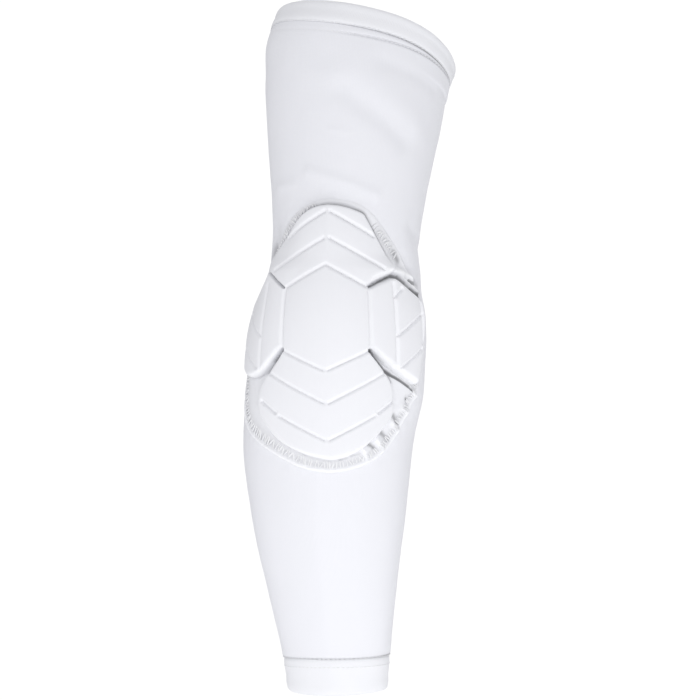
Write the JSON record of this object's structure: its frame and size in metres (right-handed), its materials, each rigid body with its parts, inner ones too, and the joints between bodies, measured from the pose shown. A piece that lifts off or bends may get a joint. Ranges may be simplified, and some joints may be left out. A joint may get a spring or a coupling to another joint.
{
  "type": "padded arm sleeve",
  "caption": "White compression sleeve worn from upper arm to wrist, open at both ends, with hem bands and a moulded ribbed foam pad sewn on over the elbow.",
  "frame": {"origin": "inside the elbow, in the middle of the hollow at the height of the pad's hexagon, where the arm carries the sleeve", "axes": "+Z along the arm towards the upper arm, -Y the way the elbow pad faces, +X to the right when looking at the pad"},
  "size_m": [0.1195, 0.1294, 0.3986],
  "materials": {
    "knit_fabric": "fine white stretch knit, soft satin sheen",
    "hem_fabric": "doubled white stretch knit, flat",
    "pad_cover": "smooth white stretch cover bonded on moulded foam"
  },
  "bodies": {
    "root": {"sleeve_tube": "knit_fabric", "upper_cuff": "hem_fabric", "wrist_cuff": "hem_fabric", "elbow_pad": "pad_cover"}
  },
  "joints": []
}
